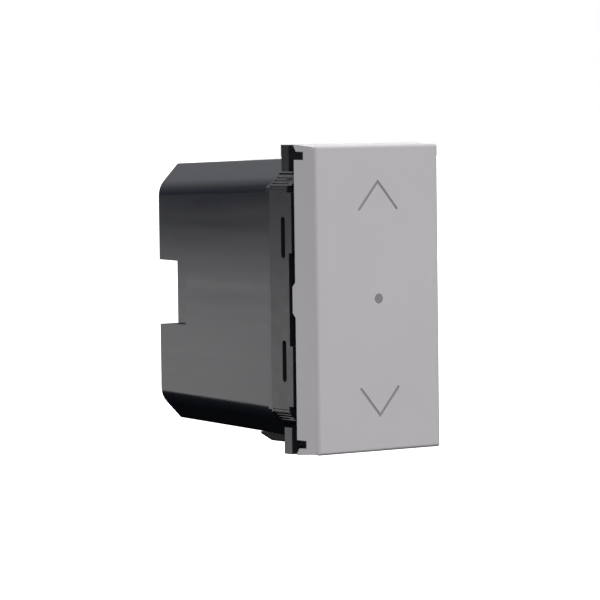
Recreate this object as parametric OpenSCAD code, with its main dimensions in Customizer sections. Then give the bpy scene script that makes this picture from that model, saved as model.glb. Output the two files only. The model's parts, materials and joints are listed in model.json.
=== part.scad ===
// Modular push-rocker dimmer, one module wide. Millimetres, +Z up, front face towards -Y.
// The origin is the centre of the module, in the plane where the carrier's lugs rest on
// the support frame. Everything with a positive Y stands behind that plane.

/* [Rocker cap] */
// Width of the cap
cap_w = 22.4; // [21.6:0.1:22.4]
// Height of the cap
cap_h = 44.8; // [44:0.1:45]
// Depth of the cap's side walls
cap_depth = 5.3; // [5:0.1:5.4]
// Radius of the cap's front edges
cap_round = 0.5; // [0.2:0.1:0.6]
// Distance from the cap's front face to the lugs' seat
front_reach = 8.4; // [8.4:0.1:9]

/* [Carrier frame] */
// Width of the lugs
lug_w = 22.5; // [22:0.1:22.6]
// Overall height across the lugs
lug_h = 45.2; // [45.1:0.1:45.4]
// Thickness of the lugs
lug_t = 1.9; // [1.8:0.1:2]
// Depth of the side skirts behind the seat
skirt_depth = 3.3; // [3:0.1:3.4]

/* [Rear housing] */
// Depth of the housing behind the seat
housing_depth = 34; // [33.6:0.1:35]
// Width of the housing at the seat
housing_w = 21.3; // [21.2:0.1:21.4]
// Height of the housing at the seat
housing_h = 41.3; // [41.2:0.1:41.5]
// Width of the housing at its rear face
housing_rear_w = 20.3; // [20.2:0.1:20.6]
// Height of the housing at its rear face
housing_rear_h = 39.3; // [39.2:0.1:39.8]
// Chamfer of the housing's long edges
housing_chamfer = 3.6; // [3.4:0.1:3.7]
// Height of the notch between the terminal blocks, at its mouth
notch_h = 9.8; // [9.7:0.1:10.2]
// Depth of the notch
notch_depth = 7.1; // [6.8:0.1:7.2]

/* [Terminals] */
// Diameter of a wire entry
wire_d = 3.3; // [3:0.1:3.4]
// Distance between the two terminals of a block
terminal_pitch = 8.2; // [8:0.1:8.3]
// Height of a wire entry above the middle of the module
wire_z = 10; // [9.9:0.1:10.1]

/* [Hidden] */
$fn = 48;
eps = 0.01;
play = 0.05;

// colours
light_grey = [0.70, 0.69, 0.70];
charcoal = [0.13, 0.13, 0.15];
black = [0.08, 0.08, 0.09];
steel = [0.72, 0.73, 0.75];
brass = [0.80, 0.65, 0.32];
board_green = [0.10, 0.34, 0.20];

// cap
front_y = -front_reach;
cap_back = front_y + cap_depth;
cap_wall = 0.9;
cap_face = 1.4;
rim_t = 0.7;
rim_step = 0.12;
cap_back_h = 45.3;
side_bump = 0.7;
side_bump_h = 5.2;
cap_notch_bottom = 20.4;
cap_notch_top = 21.6;
cap_notch_depth = 2.3;
dot_r = 0.73;
pipe_r = 1.3;
pipe_seat = front_y + 1;
pipe_end = -1.6;
chevron_z = 13.3;
chevron_rise = 4.1;
chevron_half = 3.6;
chevron_line = 0.4;
chevron_depth = 0.1;

// rocker carrier and its pivot
pivot_y = -3.2;
pin_r = 1;
pin_tip = 9.9;
plate_front = -6.4;
plate_back = -5.2;
arm_in = 7.5;
arm_out = 8.6;
arm_half = 2.2;
clip_x = 5;
clip_z = 8.5;
clip_w = 2.6;
clip_t = 1.2;
push_z = 12;

// carrier frame
web_front = -1.2;
web_half_h = 17.6;
web_neck_w = 16;
lug_bottom = 18.7;
seat_bottom = 20.9;
seat_relief = 0.1;
skirt_w = 22.2;
skirt_h = 42.6;
skirt_chamfer = 4.7;
skirt_wall = 0.85;
skirt_front = -2.15;
skirt_setback = 0.7;
skirt_setback_h = 13.6;
skirt_clip_z = 18.2;
ridge_z = 16.05;
ridge_pitch = 0.4;
ridge_groove = 0.18;
slot_y = -0.05;
slot_w = 1;
slot_z0 = 6;
slot_z1 = 12.1;
ear_in = 8.9;
ear_out = 10;
tongue_w = 13;
tongue_z = 21.6;
tongue_flat = 9.9;
tongue_end = 12.4;
tongue_flare = 0.25;
tongue_groove = 2.2;

// housing
lip_w = 20.4;
lip_h = 40.3;
side_round = 3.2;
top_round = 0.6;
shell = 1.2;
rear_wall = 1.4;
collar_end = 4.5;
collar_rise = 0.2;
clip_gap = 0.22;
notch_draft = 0.1;
pad_w = 17.1;
pad_h = notch_h + 0.2;
pad_depth = 4.6;
latch_proud = 0.3;
access_r = 1.9;

// boards
board_t = 1.2;
control_y = 0.3;
power_y = 23.6;
leg_r = 0.3;
film_legs = [[-5.1, 5.5], [-5.1, 13.5]];
can_legs = [[-6, 0], [-4, 0]];
varistor_legs = [[0.4, 12.5], [1.4, 15.5]];
fuse_legs = [[1, -15], [1, -6.2]];
resistor_legs = [[0.6, 4.6], [0.6, 10.4]];
link_places = [for (i = [-2 : 2]) [i * 2, -17.6]];
tab_x = 4.85;
tab_places = [for (side = [-1, 1], i = [-1 : 1]) [tab_x, side * 7 + i * 2.5]];

// push switches
key_size = 6;
key_top = -3.2;
key_lid = 0.7;
stem_r = 1.6;
stem_top = -3.9;

// terminals
terminal_x = terminal_pitch / 2;
cage_y = 29.4;
cage_w = 5.2;
cage_l = 5.6;
cage_wall = 0.8;
cage_floor_z = wire_z - 1.8;
cage_top_z = 12.9;
cage_top_t = 1.2;
bar_z = 11.8;
bar_t = 0.8;
bar_tab = 0.6;
screw_r = 1.5;
screw_head_r = 2.1;
screw_head_z = 16.6;
screw_head_t = 1.4;

// ---- shared shapes ----

// Extrudes an outline drawn in X and Z from y0 to y1.
module along_y(y0, y1) {
    translate([0, y1, 0])
        rotate([90, 0, 0])
            linear_extrude(y1 - y0)
                children();
}

// Extrudes an outline drawn in Y and Z from x0 to x1.
module along_x(x0, x1) {
    translate([x0, 0, 0])
        rotate([90, 0, 90])
            linear_extrude(x1 - x0)
                children();
}

module rod_y(r, y0, y1) {
    along_y(y0, y1) circle(r);
}

module rod_x(r, x0, x1) {
    translate([x0, 0, 0])
        rotate([0, 90, 0])
            cylinder(r = r, h = x1 - x0);
}

// A block given by its lowest and highest corners.
module block(low, high) {
    translate(low) cube(high - low);
}

// A rectangle with its corners cut off at 45 degrees.
module cut_corners(w, h, c) {
    x = w / 2;
    z = h / 2;
    polygon([[-x, c - z], [c - x, -z], [x - c, -z], [x, c - z],
        [x, z - c], [x - c, z], [c - x, z], [-x, z - c]]);
}

// Copies a child to both sides of the middle, left and right.
module left_and_right() {
    children();
    mirror([1, 0, 0]) children();
}

// Copies a child to the top and the bottom.
module top_and_bottom() {
    children();
    mirror([0, 0, 1]) children();
}

// ---- rocker ----

// One half of the cap's side view, from the middle upwards.
function cap_side_half() = let(top = cap_h / 2 - rim_step) [
    [cap_back + side_bump, 0],
    [cap_back + side_bump, side_bump_h / 2 - side_bump],
    [cap_back, side_bump_h / 2],
    [cap_back, cap_notch_bottom],
    [cap_back, cap_notch_top],
    [cap_back - 0.5, cap_notch_top],
    [cap_back + 0.2, cap_back_h / 2],
    [front_y + rim_t, top],
    [front_y + rim_t, cap_h / 2],
    [front_y, cap_h / 2],
    [front_y, 0]];

module chevron_outline() {
    slope = atan2(chevron_rise, chevron_half);
    tip = chevron_z + chevron_rise;
    r = chevron_line / 2;
    foot = [chevron_half - r, chevron_z - r];
    right_end = [for (a = [-90 - slope : 30 : 90 - slope]) foot + r * [cos(a), sin(a)]];
    left_end = [for (i = [len(right_end) - 1 : -1 : 0]) [-right_end[i][0], right_end[i][1]]];
    polygon(concat([[0, tip - chevron_line / cos(slope)]], right_end, [[0, tip]], left_end));
}

// What is cut away to round an outer corner at the origin, with the solid towards +X and +Y.
module corner_waste(r) {
    difference() {
        translate([-1, -1]) square(r + 1);
        translate([r, r]) circle(r);
    }
}

// What is cut away to round the front edges and corners of the cap.
module cap_edge_waste() {
    left_and_right()
        translate([-cap_w / 2, front_y, -30]) linear_extrude(60) corner_waste(cap_round);
    top_and_bottom() {
        along_x(-20, 20) translate([front_y, -cap_h / 2]) corner_waste(cap_round);
        left_and_right()
            along_y(front_y - 1, front_y + rim_t)
                translate([-cap_w / 2, -cap_h / 2]) corner_waste(cap_round);
    }
}

module cap_clip() {
    translate([clip_x, 0, clip_z]) {
        block([-clip_w / 2, front_y + cap_face - eps, 0], [clip_w / 2, plate_back + 0.7, clip_t]);
        along_x(-clip_w / 2, clip_w / 2)
            polygon([[plate_back + play, clip_t - eps], [plate_back + play, clip_t + 0.4],
                [plate_back + 0.7, clip_t - eps]]);
    }
}

module rocker_cap() {
    inner_w = cap_w - 2 * cap_wall;
    inner_h = cap_h - 2 * cap_wall - 2 * rim_step;
    color(light_grey) {
        difference() {
            top_and_bottom()
                along_x(-cap_w / 2, cap_w / 2)
                    polygon(cap_side_half());
            block([-inner_w / 2, front_y + cap_face, -inner_h / 2], [inner_w / 2, 0, inner_h / 2]);
            top_and_bottom()
                block([-cap_w, cap_back - cap_notch_depth, cap_notch_bottom],
                    [cap_w, 0, cap_notch_top]);
            top_and_bottom()
                along_y(front_y - eps, front_y + chevron_depth) chevron_outline();
            rod_y(dot_r + 0.01, front_y - 1, 0);
            rod_y(pipe_r + 0.01, pipe_seat, 0);
            cap_edge_waste();
        }
        top_and_bottom() left_and_right() cap_clip();
    }
}

module light_pipe() {
    color([0.45, 0.45, 0.47]) {
        rod_y(dot_r, front_y, pipe_seat + play + eps);
        rod_y(pipe_r, pipe_seat + play, pipe_end);
    }
}

module rocker_carrier() {
    color(black) {
        difference() {
            block([-arm_out, plate_front, -19], [arm_out, plate_back, 19]);
            rod_y(pipe_r + 0.3, -10, 0);
            top_and_bottom() left_and_right()
                block([clip_x - clip_w / 2 - 0.1, -10, clip_z - 0.1],
                    [clip_x + clip_w / 2 + 0.1, 0, clip_z + clip_t + 0.1]);
        }
        left_and_right() {
            block([arm_in, plate_back - eps, -arm_half], [arm_out, pivot_y + 1.5, arm_half]);
            translate([0, pivot_y, 0]) rod_x(pin_r, arm_out - eps, pin_tip);
            // stiffening rib
            block([6.6, plate_back - eps, 3], [7.4, plate_back + 0.8, 18]);
            block([6.6, plate_back - eps, -18], [7.4, plate_back + 0.8, -3]);
        }
        // feet that press the switches
        top_and_bottom()
            translate([0, 0, push_z]) rod_y(1, plate_back - eps, stem_top - 0.06);
    }
}

// ---- carrier frame ----

module skirt_ring(grow) {
    cut_corners(skirt_w + 2 * grow, skirt_h + 2 * grow, skirt_chamfer);
}

// Side skirts that wrap the housing's corners, with their gripping ridges.
module skirts() {
    inner = 2 * skirt_wall;
    ridges = 5;
    difference() {
        along_y(skirt_front, skirt_depth)
            difference() {
                skirt_ring(0);
                cut_corners(skirt_w - inner, skirt_h - inner, skirt_chamfer - 0.35);
            }
        top_and_bottom()
            block([-20, -10, skirt_clip_z], [20, 20, 30]);
        left_and_right()
            block([8, -10, -skirt_setback_h / 2], [20, skirt_front + skirt_setback, skirt_setback_h / 2]);
        // latch windows
        top_and_bottom() left_and_right() latch_window();
        // notch beside the ridged corner
        top_and_bottom() left_and_right()
            block([8, -10, ridge_z - 0.4], [20, skirt_front + 1.05, ridge_z + 0.6]);
        // grooves across the ridged corner
        for (i = [0 : ridges - 1])
            top_and_bottom() left_and_right()
                translate([0, 0, ridge_z + i * ridge_pitch])
                    block([skirt_x(ridge_z + i * ridge_pitch + ridge_groove) - 0.15, skirt_front + 1, 0],
                        [20, skirt_depth - 0.4, ridge_groove]);
    }
}

// Half width of the skirts' outside at a height z.
function skirt_x(z) = min(skirt_w / 2, skirt_w / 2 + skirt_h / 2 - skirt_chamfer - z);

// Slot with round ends through a skirt.
module latch_window() {
    r = slot_w / 2;
    block([8, slot_y - r, slot_z0 + r], [20, slot_y + r, slot_z1 - r]);
    for (z = [slot_z0 + r, slot_z1 - r])
        translate([0, slot_y, z]) rod_x(r, 8, 20);
}

module lug() {
    top = lug_h / 2;
    block([-lug_w / 2, -lug_t, lug_bottom], [lug_w / 2, -seat_relief, top]);
    block([-lug_w / 2, -lug_t, seat_bottom], [lug_w / 2, 0, top]);
    // hooks that reach into the cap's notches
    left_and_right()
        block([8.6, cap_back - cap_notch_depth + 0.8, cap_notch_bottom + 0.15],
            [lug_w / 2 - 1.5, -lug_t + eps, cap_notch_top - 0.15]);
}

// Springy tongue under the housing, with a ramped tooth that snaps behind the support frame.
module snap_tongue() {
    root = housing_h / 2 + 0.05;
    top = root - 0.35;
    top_half = tongue_w / 2 + tongue_flare;
    intersection() {
        along_x(-top_half, top_half)
            polygon([[-seat_relief - eps, -root], [tongue_end, -top], [tongue_end, -root],
                [tongue_flat, -tongue_z], [tongue_groove, -tongue_z], [tongue_groove, -root - 0.35],
                [-seat_relief - eps, -root - 0.35]]);
        along_y(-1, tongue_end + 1)
            polygon([[-top_half, -top], [top_half, -top],
                [tongue_w / 2, -tongue_z], [-tongue_w / 2, -tongue_z]]);
    }
}

module pivot_ear() {
    difference() {
        block([ear_in, -4.6, -2.2], [ear_out, web_front + eps, 2.2]);
        translate([0, pivot_y, 0]) rod_x(pin_r + play, ear_in - 1, ear_out + 1);
    }
}

module carrier_frame() {
    web_w = skirt_w - 2 * skirt_wall + 2 * eps;
    window = key_size + 0.6;
    color(black) {
        difference() {
            union() {
                block([-web_w / 2, web_front, -web_half_h], [web_w / 2, 0, web_half_h]);
                block([-web_neck_w / 2, web_front, -lug_bottom - 0.1],
                    [web_neck_w / 2, -seat_relief, lug_bottom + 0.1]);
            }
            // room for the housing's latches
            top_and_bottom() left_and_right()
                block([lip_w / 2 - 0.6, slot_y - 0.4, slot_z0], [20, 5, slot_z1]);
            // windows for the two switches and the light
            top_and_bottom()
                block([-window / 2, -5, push_z - window / 2], [window / 2, 5, push_z + window / 2]);
            rod_y(2.4, -5, 5);
        }
        skirts();
        top_and_bottom() lug();
        left_and_right() pivot_ear();
        snap_tongue();
    }
}

// ---- rear housing ----

// Rounded corners of the housing's outline at a distance y behind the seat, for a hull to join.
module housing_corners(y, inset) {
    t = y / housing_depth;
    x = (housing_w + (housing_rear_w - housing_w) * t) / 2 - inset;
    z = (housing_h + (housing_rear_h - housing_h) * t) / 2 - inset;
    chamfer = housing_chamfer - 0.4 * inset;
    side_r = max(side_round - inset, 0.3);
    top_r = max(top_round - inset, 0.3);
    bend = tan(22.5);
    for (sx = [-1, 1], sz = [-1, 1]) {
        translate([sx * (x - side_r), sz * (z - chamfer - side_r * bend)]) circle(side_r, $fn = 32);
        translate([sx * (x - chamfer - top_r * bend), sz * (z - top_r)]) circle(top_r, $fn = 32);
    }
}

module housing_block(y0, y1, inset) {
    hull() {
        along_y(y0, y0 + eps) housing_corners(y0, inset);
        along_y(y1 - eps, y1) housing_corners(y1, inset);
    }
}

// Space that stays open inside the housing: the chamber, then one pocket per terminal.
module housing_space() {
    floor_y = housing_depth - notch_depth - shell;
    intersection() {
        housing_block(-1, housing_depth - rear_wall, shell);
        union() {
            block([-20, -1, -30], [20, floor_y, 30]);
            top_and_bottom() left_and_right()
                block([terminal_x - cage_w / 2 - 0.25, floor_y - 1, notch_h / 2 + shell],
                    [terminal_x + cage_w / 2 + 0.25, housing_depth - rear_wall, 18.6]);
        }
    }
}

// Wedge-shaped notch that parts the two terminal blocks.
module notch() {
    mouth = notch_h / 2;
    floor_h = mouth - notch_draft;
    along_x(-20, 20)
        polygon([[housing_depth + 1, mouth + 0.06], [housing_depth + 1, -mouth - 0.06],
            [housing_depth - notch_depth, -floor_h], [housing_depth - notch_depth, floor_h]]);
}

module rear_housing() {
    floor_y = housing_depth - notch_depth;
    color(charcoal) {
        difference() {
            union() {
                housing_block(play, housing_depth, 0);
                along_y(skirt_depth + play, collar_end)
                    cut_corners(housing_w + 2 * collar_rise - 0.1, 2 * skirt_clip_z, 1.9);
            }
            housing_space();
            notch();
            // rebate that the carrier's skirts close over
            difference() {
                block([-20, -1, -skirt_clip_z - clip_gap], [20, skirt_depth + play, skirt_clip_z + clip_gap]);
                along_y(-2, skirt_depth + 1) cut_corners(lip_w, lip_h, skirt_chamfer - 0.35);
            }
            // wire entries
            top_and_bottom() left_and_right()
                translate([terminal_x, 0, wire_z])
                    rod_y(wire_d / 2, housing_depth - rear_wall - 1, housing_depth + 1);
            // screwdriver access
            top_and_bottom() left_and_right()
                translate([terminal_x, cage_y, 15]) cylinder(r = access_r, h = 10);
        }
        // raised pad in the notch
        block([-pad_w / 2, floor_y - eps, -pad_h / 2], [pad_w / 2, floor_y + pad_depth, pad_h / 2]);
        // latches that snap into the skirts' windows
        top_and_bottom() left_and_right()
            block([lip_w / 2 - 0.5, slot_y - 0.4 + 0.15, slot_z0 + 0.2],
                [lip_w / 2 + latch_proud, slot_y + 0.4, slot_z1 - 0.2]);
        // ledges that hold the control board
        top_and_bottom() left_and_right()
            block([4.2, control_y + board_t + play, 18.4], [5.8, 9, 19.6]);
    }
}

// ---- control board ----

module control_board() {
    color(board_green)
        difference() {
            along_y(control_y, control_y + board_t) cut_corners(18.2, 38, 3.2);
            for (p = link_places)
                translate([p[0], 0, p[1]]) rod_y(0.5, -1, 3);
        }
}

module switch_body() {
    color(black)
        translate([0, 0, push_z])
            difference() {
                block([-key_size / 2, key_top, -key_size / 2],
                    [key_size / 2, control_y - eps, key_size / 2]);
                rod_y(stem_r + play, key_top - 1, 0);
                rod_y(2.5, key_top + key_lid, -0.5);
            }
}

module switch_stem() {
    color([0.85, 0.84, 0.80])
        translate([0, 0, push_z]) {
            rod_y(stem_r, stem_top, -1.65);
            rod_y(2.2, -2.05, -1.65);
        }
}

// Shallow spring dome at the bottom of a switch.
module snap_dome() {
    rise = 0.3;
    t = 0.1;
    color(steel)
        translate([0, -0.52, push_z])
            rotate([90, 0, 0])
                rotate_extrude()
                    polygon([[0, rise], [1.2, rise * 0.75], [2.3, 0], [2.3, t],
                        [1.2, rise * 0.75 + t], [0, rise + t]]);
}

module status_led() {
    color([0.93, 0.92, 0.85]) {
        block([-1.6, control_y - 0.4, -1.4], [1.6, control_y - eps, 1.4]);
        rod_y(1.2, control_y - 0.9, control_y - 0.3);
    }
}

module microcontroller() {
    y = control_y + board_t;
    color(black)
        block([-3.2, y + 0.15, -1], [3.2, y + 1.15, 4]);
    color(steel)
        for (i = [-4 : 4])
            left_and_right()
                block([3.1, y + eps, 1.5 + i * 0.5 - 0.1], [4.1, y + 0.3, 1.5 + i * 0.5 + 0.1]);
}

// Surface-mounted resistors and capacitors, in two rows.
module chip_parts() {
    y = control_y + board_t;
    color([0.55, 0.48, 0.38])
        for (i = [0 : 5])
            left_and_right()
                block([5.2, y + eps, -12 + i * 2.4], [6.8, y + 0.6, -11.2 + i * 2.4]);
}

// Pins that join the control board to the power board.
module link_pins() {
    pin = 0.3;
    color(brass)
        for (p = link_places)
            block([p[0] - pin, 0.05, p[1] - pin], [p[0] + pin, power_y + 2, p[1] + pin]);
    color(black)
        block([-5.2, control_y + board_t + eps, -18.3], [5.2, control_y + board_t + 2.2, -16.9]);
}

// ---- power board and what it carries ----

module power_board() {
    color(board_green)
        difference() {
            along_y(power_y, power_y + board_t) cut_corners(17.6, 37, 3.4);
            for (p = concat(link_places, tab_places))
                translate([p[0], 0, p[1]]) rod_y(0.55, power_y - 1, power_y + 3);
            for (p = concat(film_legs, can_legs, varistor_legs, fuse_legs, resistor_legs))
                translate([p[0], 0, p[1]]) rod_y(leg_r + play, power_y - 1, power_y + 3);
            // slots for the contact bars' tabs
            top_and_bottom() left_and_right()
                block([terminal_x - bar_tab - play, power_y - 1, bar_z - play],
                    [terminal_x + bar_tab + play, power_y + 3, bar_z + bar_t + play]);
        }
}

module heat_spreader() {
    color([0.78, 0.79, 0.80])
        difference() {
            block([7.7, 4, -13.5], [8.6, 22.5, 13.5]);
            top_and_bottom()
                translate([0, 7.4, 7]) rod_x(1.3, 7, 9);
        }
}

module insulating_pad() {
    color([0.75, 0.78, 0.74])
        difference() {
            block([7.45, 4.6, -12.6], [7.68, 19, 12.6]);
            top_and_bottom()
                translate([0, 7.4, 7]) rod_x(1.7, 7, 8);
        }
}

module transistor() {
    translate([0, 0, 7]) {
        color(steel) {
            difference() {
                block([6.1, 5, -5], [7.4, 10.1, 5]);
                translate([0, 7.4, 0]) rod_x(1.7, 6, 8);
            }
            for (i = [-1 : 1])
                block([tab_x - 0.25, 17.9, i * 2.5 - 0.4], [tab_x + 0.25, power_y + 2, i * 2.5 + 0.4]);
        }
        color(black)
            block([3.1, 10, -5], [7.4, 18, 5]);
    }
}

module transistor_screws() {
    color(steel)
        top_and_bottom()
            translate([0, 7.4, 7])
                difference() {
                    union() {
                        rod_x(1.25, 4.5, 9.2);
                        rod_x(2.4, 4.2, 6.05);
                    }
                    block([4, -0.3, -2], [4.9, 0.3, 2]);
                }
}

choke_pos = [-4.6, 12, -10];
core_in = 3.3;
core_out = 5.9;
core_half = 2.4;

module choke_core() {
    color([0.25, 0.26, 0.24])
        translate(choke_pos)
            rotate([0, 90, 0])
                difference() {
                    cylinder(r = core_out, h = 2 * core_half, center = true);
                    cylinder(r = core_in, h = 3 * core_half, center = true);
                }
}

// Square turns of copper wire, evenly spaced round the core.
module choke_winding() {
    turns = 14;
    wire = 0.55;
    gap = 0.06;
    color([0.72, 0.38, 0.20])
        translate(choke_pos)
            rotate([0, 90, 0])
                for (i = [0 : turns - 1])
                    rotate([0, 0, i * 360 / turns])
                        rotate([90, 0, 0])
                            linear_extrude(wire, center = true)
                                difference() {
                                    translate([core_in - gap - wire, -core_half - gap - wire])
                                        square([core_out - core_in + 2 * (gap + wire),
                                            2 * (core_half + gap + wire)]);
                                    translate([core_in - gap, -core_half - gap])
                                        square([core_out - core_in + 2 * gap, 2 * (core_half + gap)]);
                                }
}

// Wire legs through the power board, at the given places in X and Z.
module legs(places, y0) {
    color(steel)
        for (p = places)
            translate([p[0], 0, p[1]]) rod_y(leg_r, y0, power_y + 2);
}

module film_capacitor() {
    color([0.75, 0.66, 0.20])
        block([-8, 10.5, 3.3], [-2.2, 22.8, 15.8]);
    legs(film_legs, 22.7);
}

module electrolytic_capacitor() {
    color([0.12, 0.14, 0.22])
        translate([-5, 0, 0])
            difference() {
                rod_y(3.05, 11, 22.9);
                // vent cross in the end
                block([-2, 10, -0.1], [2, 11.2, 0.1]);
                block([-0.1, 10, -2], [0.1, 11.2, 2]);
            }
    legs(can_legs, 22.8);
}

module varistor() {
    color([0.12, 0.30, 0.62])
        translate([0, 19, 14]) rod_x(3.4, -0.5, 2.3);
    legs(varistor_legs, 21);
}

module fuse_link() {
    color([0.80, 0.76, 0.66])
        translate([1, 20.4, 0])
            translate([0, 0, -15.5]) cylinder(r = 1.4, h = 10);
    color(steel)
        translate([1, 20.4, 0])
            for (z = [-15.9, -7.1])
                translate([0, 0, z]) cylinder(r = 1.6, h = 2);
    legs(fuse_legs, 20.4);
}

module bridge_rectifier() {
    color(black)
        block([-1.6, 20.8, -2.6], [2.4, 23.2, 2.6]);
    color(steel)
        for (z = [-1.3, 1.3])
            for (x = [-1.9, 2.1])
                block([x, 22.6, z - 0.4], [x + 0.6, power_y - eps, z + 0.4]);
}

module load_resistor() {
    color([0.30, 0.55, 0.60])
        translate([0.6, 21.6, 5]) cylinder(r = 1.1, h = 5);
    legs(resistor_legs, 21.3);
    color(steel)
        translate([0.6, 21.6, 4.3]) cylinder(r = 0.3, h = 6.4);
}

// ---- terminals, described for the upper right one ----

module contact_bars() {
    color(brass)
        top_and_bottom() left_and_right()
            translate([terminal_x, 0, 0]) {
                block([-1.6, power_y + board_t + play, bar_z], [1.6, cage_y + 2.6, bar_z + bar_t]);
                block([-bar_tab, power_y - 0.5, bar_z],
                    [bar_tab, power_y + board_t + play + eps, bar_z + bar_t]);
            }
}

// Rising clamp: the screw lifts it and pinches the wire against the contact bar.
module cage() {
    top = cage_top_z + cage_top_t;
    color(steel)
        translate([terminal_x, cage_y, 0])
            difference() {
                block([-cage_w / 2, -cage_l / 2, cage_floor_z - 1], [cage_w / 2, cage_l / 2, top]);
                block([-cage_w / 2 + cage_wall, -cage_l, cage_floor_z],
                    [cage_w / 2 - cage_wall, cage_l, cage_top_z]);
                translate([0, 0, cage_top_z - 1]) cylinder(r = screw_r + play, h = 4);
            }
}

module clamp_screw() {
    color(steel)
        translate([terminal_x, cage_y, 0])
            difference() {
                union() {
                    translate([0, 0, bar_z + bar_t + play])
                        cylinder(r = screw_r, h = screw_head_z - bar_z - bar_t);
                    translate([0, 0, screw_head_z]) cylinder(r = screw_head_r, h = screw_head_t);
                }
                block([-3, -0.35, screw_head_z + 0.6], [3, 0.35, 20]);
            }
}

// Terminals 1 and 2 are the upper pair, left then right; 3 and 4 are the lower pair.
module at_terminal(number) {
    mirror([number % 2, 0, 0])
        mirror([0, 0, number > 2 ? 1 : 0])
            children();
}

rocker_cap();
light_pipe();
rocker_carrier();
carrier_frame();
rear_housing();
control_board();
switch_body();  // switch_body_upper
mirror([0, 0, 1]) switch_body();  // switch_body_lower
switch_stem();  // switch_stem_upper
mirror([0, 0, 1]) switch_stem();  // switch_stem_lower
snap_dome();  // snap_dome_upper
mirror([0, 0, 1]) snap_dome();  // snap_dome_lower
status_led();
microcontroller();
chip_parts();
link_pins();
power_board();
heat_spreader();
insulating_pad();
transistor();  // transistor_upper
mirror([0, 0, 1]) transistor();  // transistor_lower
transistor_screws();
choke_core();
choke_winding();
film_capacitor();
electrolytic_capacitor();
varistor();
fuse_link();
bridge_rectifier();
load_resistor();
contact_bars();
at_terminal(1) cage();  // terminal_cage_1
at_terminal(2) cage();  // terminal_cage_2
at_terminal(3) cage();  // terminal_cage_3
at_terminal(4) cage();  // terminal_cage_4
at_terminal(1) clamp_screw();  // terminal_screw_1
at_terminal(2) clamp_screw();  // terminal_screw_2
at_terminal(3) clamp_screw();  // terminal_screw_3
at_terminal(4) clamp_screw();  // terminal_screw_4
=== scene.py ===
"""One-module push-rocker dimmer: pale rocker cap, black carrier frame and rear housing."""

import json
import math

import bpy
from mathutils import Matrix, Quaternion, Vector


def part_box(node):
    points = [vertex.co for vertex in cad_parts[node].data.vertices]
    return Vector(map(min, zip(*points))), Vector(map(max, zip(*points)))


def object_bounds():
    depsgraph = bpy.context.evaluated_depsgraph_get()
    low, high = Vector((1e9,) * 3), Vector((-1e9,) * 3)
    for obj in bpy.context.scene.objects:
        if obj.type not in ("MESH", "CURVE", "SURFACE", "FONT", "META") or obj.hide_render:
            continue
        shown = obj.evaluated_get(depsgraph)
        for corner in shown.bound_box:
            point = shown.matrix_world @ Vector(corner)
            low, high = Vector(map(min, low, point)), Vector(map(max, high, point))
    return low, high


MM = 0.001

# Camera: it looks at the cap's front face from the left and slightly above.
AZIMUTH = -35.8
ELEVATION = 3.0
ROLL = 0.71
DISTANCE = 528.0 * MM
LENS = 220.3
AIM_LEFT = 14.2 * MM
AIM_UP = 0.35 * MM
SENSOR_WIDTH = 36
CLIP_NEAR = 0.01
CLIP_FAR = 20

# The floor: its size in metres, and how far it lies under the object.
FLOOR_SIZE = 12
FLOOR_DROP = 60 * MM

# The chevron grooves on the cap, in mm: how far they reach sideways from its middle, the depths
# between which their floors lie, and the height at its top and bottom that has no groove.
MARK_REACH = 4.0
GROOVE_TOP = 0.02
GROOVE_LIMIT = 0.15
EDGE_MARGIN = 2.0

# Most of the noise lies between these two values.
NOISE_LOW = 0.3
NOISE_HIGH = 0.7

# Edge rounding: radii in mm for the nodes that have it, segments, and the least angle in degrees.
EDGE_RADII = {
    "rocker_cap": 0.1,
    "carrier_frame": 0.07,
    "rear_housing": 0.3,
}
EDGE_SEGMENTS = 3
EDGE_ANGLE = 25

# Clean-up before the rounding: points this close in mm are joined, and faces within this angle in
# degrees are taken as one.
WELD_REACH = 0.002
FLAT_ANGLE = 0.6

# Colour of the studio by height: the sine of the angle above the horizon, from -1 to 1.
STUDIO = [
    (-0.30, (0.0, 0.0, 0.0)),
    (-0.02, (0.02, 0.02, 0.03)),
    (0.10, (0.10, 0.12, 0.17)),
    (0.30, (0.25, 0.27, 0.30)),
    (0.60, (0.80, 0.80, 0.82)),
    (1.00, (1.10, 1.10, 1.10)),
]

# Lamps: name, place, aim, width and height, all in mm, and watts.
LAMPS = [
    ("overhead", (0, -40, 420), (0, 0, 0), 400, 400, 1.0),
    ("front_left", (-420, -380, 120), (0, 0, 0), 300, 300, 1.3),
    ("front_right", (300, -420, 0), (0, 0, 0), 260, 260, 0.78),
    ("front_low", (-60, -380, -260), (0, 0, 0), 300, 200, 0.15),
    ("back_left_low", (-190, 220, -41), (-10, 15, -5), 240, 75, 0.103),
    ("back_low", (150, 420, -80), (0, 20, 0), 320, 120, 0.1),
    ("back_right", (330, 330, 60), (0, 20, 0), 200, 200, 0.35),
]


# ---- camera, floor and light ----

def make_camera():
    low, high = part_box("rocker_cap")
    target = Vector(((low.x + high.x) / 2 - AIM_LEFT, low.y, (low.z + high.z) / 2 + AIM_UP))
    a, e = math.radians(AZIMUTH), math.radians(ELEVATION)
    back = Vector((math.sin(a) * math.cos(e), -math.cos(a) * math.cos(e), math.sin(e)))
    data = bpy.data.cameras.new("camera")
    data.lens = LENS
    data.sensor_width = SENSOR_WIDTH
    data.clip_start = CLIP_NEAR
    data.clip_end = CLIP_FAR
    cam = bpy.data.objects.new("camera", data)
    cam.location = target + back * DISTANCE
    cam.rotation_mode = "QUATERNION"
    turn = (-back).to_track_quat("-Z", "Y")
    cam.rotation_quaternion = turn @ Quaternion((0, 0, 1), -math.radians(ROLL))
    bpy.context.scene.collection.objects.link(cam)
    bpy.context.scene.camera = cam


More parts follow.
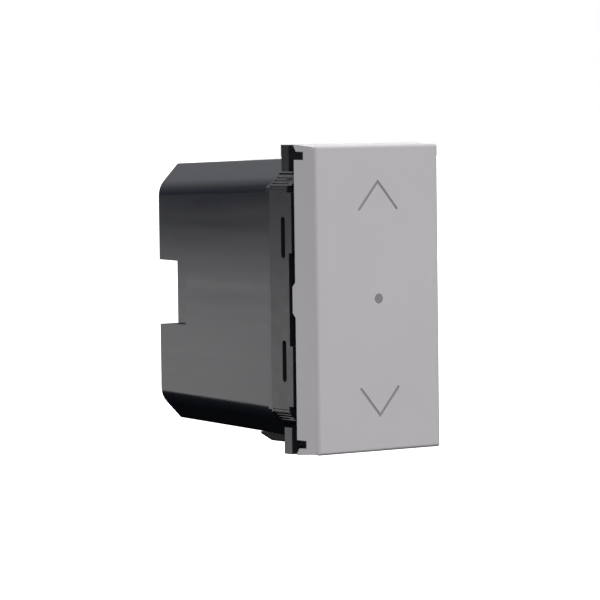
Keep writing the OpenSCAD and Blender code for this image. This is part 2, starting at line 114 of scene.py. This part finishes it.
def add_light(name, place, aim, width, height, watts):
    """A soft rectangular lamp, turned towards aim. Its places and sizes are in mm."""
    data = bpy.data.lights.new(name, "AREA")
    data.shape = "RECTANGLE"
    data.size = width * MM
    data.size_y = height * MM
    data.energy = watts
    lamp = bpy.data.objects.new(name, data)
    lamp.location = Vector(place) * MM
    lamp.rotation_mode = "QUATERNION"
    lamp.rotation_quaternion = (Vector(aim) * MM - lamp.location).to_track_quat("-Z", "Y")
    lamp.visible_camera = False
    bpy.context.scene.collection.objects.link(lamp)


def make_stage():
    """A floor that shines white, so shadows on it don't show. Reflected light leaves it out."""
    low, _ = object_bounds()
    bpy.ops.mesh.primitive_plane_add(size=FLOOR_SIZE, location=(0, 0, low.z - FLOOR_DROP))
    floor = bpy.context.object
    floor.name = "floor"
    mat = bpy.data.materials.new("floor")
    mat.use_nodes = True
    bsdf = mat.node_tree.nodes["Principled BSDF"]
    bsdf.inputs["Base Color"].default_value = (0.9, 0.9, 0.9, 1)
    bsdf.inputs["Roughness"].default_value = 0.9
    bsdf.inputs["Emission Color"].default_value = (1, 1, 1, 1)
    bsdf.inputs["Emission Strength"].default_value = 1.0
    floor.data.materials.append(mat)
    floor.visible_glossy = False
    floor.visible_diffuse = False


def make_world():
    """White towards the camera. Everything else sees the studio, black well below the horizon."""
    world = bpy.data.worlds.new("studio")
    bpy.context.scene.world = world
    world.use_nodes = True
    tree = world.node_tree
    nodes, links = tree.nodes, tree.links
    nodes.clear()
    out = nodes.new("ShaderNodeOutputWorld")
    mix = nodes.new("ShaderNodeMixShader")
    seen = nodes.new("ShaderNodeBackground")
    fill = nodes.new("ShaderNodeBackground")
    path = nodes.new("ShaderNodeLightPath")
    way = nodes.new("ShaderNodeTexCoord")
    split = nodes.new("ShaderNodeSeparateXYZ")
    span = nodes.new("ShaderNodeMapRange")
    ramp = nodes.new("ShaderNodeValToRGB")
    seen.inputs["Color"].default_value = (1, 1, 1, 1)
    seen.inputs["Strength"].default_value = 1.0
    fill.inputs["Strength"].default_value = 1.0
    span.inputs["From Min"].default_value = -1
    stops = ramp.color_ramp.elements
    while len(stops) < len(STUDIO):
        stops.new(0.5)
    for stop, (height, colour) in zip(stops, STUDIO):
        stop.position = (height + 1) / 2
        stop.color = (*colour, 1)
    links.new(way.outputs["Generated"], split.inputs[0])
    links.new(split.outputs["Z"], span.inputs["Value"])
    links.new(span.outputs["Result"], ramp.inputs["Fac"])
    links.new(ramp.outputs["Color"], fill.inputs["Color"])
    links.new(path.outputs["Is Camera Ray"], mix.inputs["Fac"])
    links.new(fill.outputs[0], mix.inputs[1])
    links.new(seen.outputs[0], mix.inputs[2])
    links.new(mix.outputs[0], out.inputs["Surface"])


# ---- materials ----

class Shader:
    """A Principled material and short ways to add the nodes that it needs."""

    def __init__(self, name, rough=0.5, metal=0.0):
        self.mat = bpy.data.materials.new(name)
        self.mat.use_nodes = True
        self.tree = self.mat.node_tree
        self.bsdf = self.tree.nodes["Principled BSDF"]
        self.bsdf.inputs["Metallic"].default_value = metal
        self.bsdf.inputs["Roughness"].default_value = rough
        self.coords = self.node("TexCoord").outputs["Object"]

    def node(self, kind, **settings):
        """A new node. A setting fills the socket of its name, or else the node's own property."""
        made = self.tree.nodes.new("ShaderNode" + kind)
        for key, value in settings.items():
            if key in made.inputs:
                made.inputs[key].default_value = value
            else:
                setattr(made, key, value)
        return made

    def link(self, source, target):
        self.tree.links.new(source, target)

    def noise(self, per_mm, detail=3.0, stretch=(1, 1, 1)):
        """Noise with about per_mm features in a millimetre."""
        scale = self.node("Mapping")
        scale.inputs["Scale"].default_value = stretch
        self.link(self.coords, scale.inputs["Vector"])
        tex = self.node("TexNoise", Scale=per_mm / MM, Detail=detail)
        self.link(scale.outputs[0], tex.inputs["Vector"])
        return tex.outputs["Fac"]

    def ramp(self, source, stops):
        ramp = self.node("ValToRGB")
        points = ramp.color_ramp.elements
        while len(points) < len(stops):
            points.new(0.5)
        for point, (at, colour) in zip(points, stops):
            point.position = at
            point.color = (*colour, 1)
        self.link(source, ramp.inputs["Fac"])
        return ramp.outputs["Color"]

    def levels(self, source, low, high):
        """Spreads a noise over low to high."""
        span = self.node("MapRange")
        span.inputs["From Min"].default_value = NOISE_LOW
        span.inputs["From Max"].default_value = NOISE_HIGH
        span.inputs["To Min"].default_value = low
        span.inputs["To Max"].default_value = high
        self.link(source, span.inputs["Value"])
        return span.outputs["Result"]

    def product(self, first, second):
        times = self.node("Math", operation="MULTIPLY")
        self.link(first, times.inputs[0])
        self.link(second, times.inputs[1])
        return times.outputs[0]

    def between(self, source, low, high):
        """1 where the source lies between low and high, and 0 elsewhere."""
        above = self.node("Math", operation="GREATER_THAN")
        below = self.node("Math", operation="LESS_THAN")
        above.inputs[1].default_value = low
        below.inputs[1].default_value = high
        self.link(source, above.inputs[0])
        self.link(source, below.inputs[0])
        return self.product(above.outputs[0], below.outputs[0])

    def darken_groove_floors(self, tint, groove_floor_colour):
        """Colours the floors of the two chevron grooves in the cap's front face a flat darker tone.
        """
        low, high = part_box("rocker_cap")
        middle = (low.x + high.x) / 2
        reach = MARK_REACH * MM
        margin = EDGE_MARGIN * MM
        split = self.node("SeparateXYZ")
        self.link(self.coords, split.inputs[0])
        floor_low = low.y + GROOVE_TOP * MM
        floor_high = low.y + GROOVE_LIMIT * MM
        across = self.between(split.outputs["X"], middle - reach, middle + reach)
        deep = self.between(split.outputs["Y"], floor_low, floor_high)
        inside = self.between(split.outputs["Z"], low.z + margin, high.z - margin)
        # Inputs 0, 6 and 7 are the factor and the two colours. Output 2 is the mixed colour.
        mix = self.node("Mix", data_type="RGBA")
        self.link(self.product(self.product(across, deep), inside), mix.inputs[0])
        self.link(tint, mix.inputs[6])
        mix.inputs[7].default_value = (*groove_floor_colour, 1)
        return mix.outputs[2]

    def bump(self, *layers):
        """Stacks (height source, strength, depth in mm) into the normal."""
        normal = None
        for source, strength, depth in layers:
            bump = self.node("Bump", Strength=strength, Distance=depth * MM)
            self.link(source, bump.inputs["Height"])
            if normal is not None:
                self.link(normal, bump.inputs["Normal"])
            normal = bump.outputs["Normal"]
        self.link(normal, self.bsdf.inputs["Normal"])


def moulded(name, colour, spread, rough, grain_mm, grain_depth, flow=(1, 1, 1), groove_colour=None):
    """Moulded plastic: fine grain, stretched along its flow, slow colour drift and uneven sheen."""
    s = Shader(name)
    dark = tuple(c * (1 - spread) for c in colour)
    light = tuple(min(1, c * (1 + spread)) for c in colour)
    tint = s.ramp(s.noise(0.08, 2), [(NOISE_LOW, dark), (NOISE_HIGH, light)])
    # The floors of the cap's chevron grooves get a flat darker colour here.
    if groove_colour:
        tint = s.darken_groove_floors(tint, groove_colour)
    s.link(tint, s.bsdf.inputs["Base Color"])
    s.link(s.levels(s.noise(0.6, 3, flow), rough - 0.03, rough + 0.03), s.bsdf.inputs["Roughness"])
    s.bump((s.noise(grain_mm, 3, flow), 0.35, grain_depth))
    return s.mat


def metal(name, colour, rough, scratch=(1, 1, 1)):
    """Plated or rolled metal with drawn marks and dull patches."""
    s = Shader(name, metal=1.0)
    marks = s.noise(3, 5, scratch)
    dark = tuple(c * 0.82 for c in colour)
    s.link(s.ramp(s.noise(0.7, 3), [(0.35, dark), (0.65, colour)]), s.bsdf.inputs["Base Color"])
    s.link(s.levels(marks, rough - 0.08, rough + 0.12), s.bsdf.inputs["Roughness"])
    s.bump((marks, 0.3, 0.01))
    return s.mat


def circuit_board(name):
    """Solder mask over faint copper tracks."""
    s = Shader(name, rough=0.35)
    tracks = s.node("TexBrick", Scale=1 / (3 * MM))
    s.link(s.coords, tracks.inputs["Vector"])
    tracks.inputs["Color1"].default_value = (0.020, 0.120, 0.060, 1)
    tracks.inputs["Color2"].default_value = (0.026, 0.150, 0.075, 1)
    tracks.inputs["Mortar"].default_value = (0.012, 0.075, 0.040, 1)
    tracks.inputs["Mortar Size"].default_value = 0.06
    s.link(tracks.outputs["Color"], s.bsdf.inputs["Base Color"])
    s.link(s.levels(s.noise(1.5, 3), 0.28, 0.42), s.bsdf.inputs["Roughness"])
    s.bump((tracks.outputs["Fac"], 0.3, 0.02))
    return s.mat


def glossy(name, colour, rough=0.25):
    """Dipped, lacquered or sleeved component case."""
    s = Shader(name)
    dark = tuple(c * 0.85 for c in colour)
    tint = s.ramp(s.noise(0.5, 2), [(NOISE_LOW, dark), (NOISE_HIGH, colour)])
    s.link(tint, s.bsdf.inputs["Base Color"])
    s.link(s.levels(s.noise(1.2, 3), rough - 0.06, rough + 0.08), s.bsdf.inputs["Roughness"])
    s.bump((s.noise(1.0, 2), 0.2, 0.03))
    return s.mat


def make_materials():
    return {
        # The last colour is the flat darker tone of the floors of the cap's chevron grooves.
        "cap_plastic": moulded(
            "cap_plastic", (0.475, 0.453, 0.468), 0.012, 0.42, 9, 0.004, groove_colour=(0.235, 0.225, 0.232)
        ),
        "light_pipe": glossy("light_pipe", (0.10, 0.094, 0.103)),
        "frame_plastic": moulded("frame_plastic", (0.010, 0.0105, 0.013), 0.1, 0.3, 7, 0.004),
        "housing_plastic": moulded(
            "housing_plastic", (0.0125, 0.0135, 0.018), 0.06, 0.2, 6, 0.0018, (1, 0.06, 1)
        ),
        "switch_plastic": moulded("switch_plastic", (0.015, 0.015, 0.016), 0.1, 0.5, 6, 0.01),
        "stem_plastic": moulded("stem_plastic", (0.75, 0.73, 0.66), 0.03, 0.4, 6, 0.005),
        "board": circuit_board("board"),
        "spring_steel": metal("spring_steel", (0.62, 0.62, 0.64), 0.25),
        "plated_steel": metal("plated_steel", (0.66, 0.67, 0.70), 0.32),
        "tinned_metal": metal("tinned_metal", (0.72, 0.73, 0.74), 0.3, (1, 0.1, 1)),
        "aluminium": metal("aluminium", (0.80, 0.81, 0.82), 0.35, (1, 0.1, 1)),
        "brass": metal("brass", (0.78, 0.62, 0.28), 0.3),
        "copper_wire": metal("copper_wire", (0.70, 0.30, 0.14), 0.25),
        "lens": glossy("lens", (0.85, 0.84, 0.76)),
        "ferrite": moulded("ferrite", (0.04, 0.045, 0.04), 0.15, 0.55, 3, 0.03),
        "yellow_case": glossy("yellow_case", (0.60, 0.46, 0.08)),
        "blue_coating": glossy("blue_coating", (0.03, 0.11, 0.42)),
        "can_sleeve": glossy("can_sleeve", (0.02, 0.03, 0.07)),
        "ceramic": glossy("ceramic", (0.62, 0.56, 0.42), 0.4),
        "resistor_coating": glossy("resistor_coating", (0.14, 0.36, 0.42)),
        "pad_rubber": moulded("pad_rubber", (0.50, 0.55, 0.50), 0.06, 0.7, 4, 0.02),
    }


# ---- CAD nodes: edges and materials ----

def make_smoother():
    """A geometry node group that shades smooth, so that a CAD node's own mesh needs no change."""
    group = bpy.data.node_groups.new("smoother", "GeometryNodeTree")
    for way in ("INPUT", "OUTPUT"):
        group.interface.new_socket("Geometry", in_out=way, socket_type="NodeSocketGeometry")
    source = group.nodes.new("NodeGroupInput")
    smooth = group.nodes.new("GeometryNodeSetShadeSmooth")
    result = group.nodes.new("NodeGroupOutput")
    group.links.new(source.outputs[0], smooth.inputs["Geometry"])
    group.links.new(smooth.outputs[0], result.inputs[0])
    return group


def soften(node, radius, smoother):
    """Rounds a CAD node's edges with modifiers alone, so its own mesh stays as packed."""
    node.modifiers.new("smooth", "NODES").node_group = smoother
    weld = node.modifiers.new("weld", "WELD")
    weld.merge_threshold = WELD_REACH * MM
    flat = node.modifiers.new("flat", "DECIMATE")
    flat.decimate_type = "DISSOLVE"
    flat.angle_limit = math.radians(FLAT_ANGLE)
    bevel = node.modifiers.new("edges", "BEVEL")
    bevel.width = radius * MM
    bevel.segments = EDGE_SEGMENTS
    bevel.limit_method = "ANGLE"
    bevel.angle_limit = math.radians(EDGE_ANGLE)
    bevel.use_clamp_overlap = True
    bevel.miter_outer = "MITER_ARC"
    normals = node.modifiers.new("normals", "WEIGHTED_NORMAL")
    normals.weight = 100
    normals.keep_sharp = True


def dress_nodes(frame, materials):
    """Gives each node the material of its slot in the record, and rounds the outer ones."""
    slot_of = {s["node"]: s["material_slot"] for s in frame["record"]["subparts"]}
    smoother = make_smoother()
    for name, node in frame["nodes"].items():
        node.data.materials.clear()
        node.data.materials.append(materials[slot_of[name]])
        if name in EDGE_RADII:
            soften(node, EDGE_RADII[name], smoother)


# ---- the scene ----

bpy.context.scene.view_settings.view_transform = "Standard"
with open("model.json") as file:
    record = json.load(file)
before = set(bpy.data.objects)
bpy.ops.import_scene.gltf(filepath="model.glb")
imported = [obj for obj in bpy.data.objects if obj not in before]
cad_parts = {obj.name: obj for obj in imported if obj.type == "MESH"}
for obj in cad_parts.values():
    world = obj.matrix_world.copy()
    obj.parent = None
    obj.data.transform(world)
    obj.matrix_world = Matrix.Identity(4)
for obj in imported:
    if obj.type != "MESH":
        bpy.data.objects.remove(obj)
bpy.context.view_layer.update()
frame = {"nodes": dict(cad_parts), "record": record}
make_camera()
make_world()
make_stage()
for lamp in LAMPS:
    add_light(*lamp)
dress_nodes(frame, make_materials())
